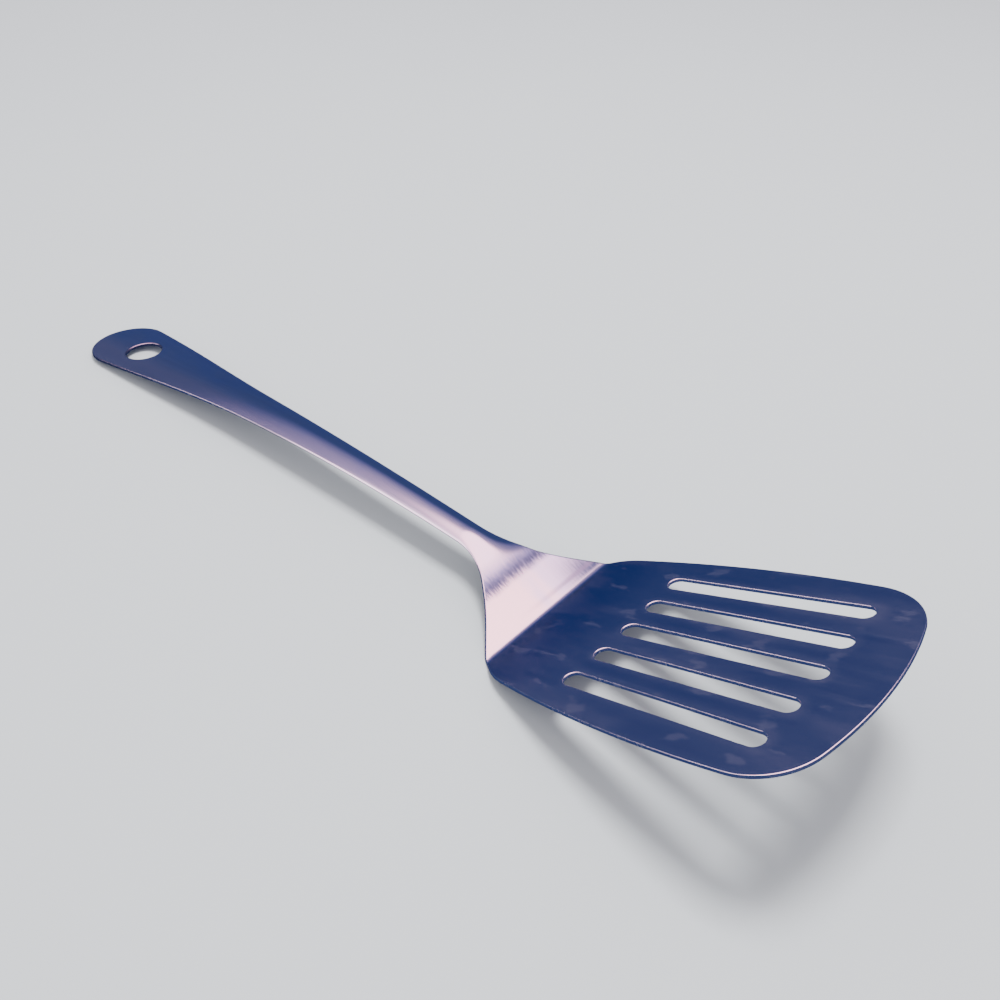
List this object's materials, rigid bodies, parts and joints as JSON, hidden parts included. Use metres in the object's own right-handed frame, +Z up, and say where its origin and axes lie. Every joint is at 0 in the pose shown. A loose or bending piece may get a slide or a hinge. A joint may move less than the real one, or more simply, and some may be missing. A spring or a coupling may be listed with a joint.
{
  "type": "slotted fish spatula",
  "caption": "Slotted fish spatula pressed from one steel sheet, with a raised flared blade, a bent neck and an arched handle that ends in a hanging hole.",
  "frame": {"origin": "bottom centre of the bounding box, on the surface that the spatula stands on", "axes": "+X along the handle toward the blade's front edge, +Y across the blade, +Z up from the surface"},
  "size_m": [0.3206, 0.08, 0.0425],
  "materials": {
    "steel": "satin brushed lengthwise, with light wear and water marks"
  },
  "bodies": {
    "root": {"blade": "steel", "heel_bend": "steel", "neck": "steel", "handle": "steel", "hanging_end": "steel"}
  },
  "joints": []
}
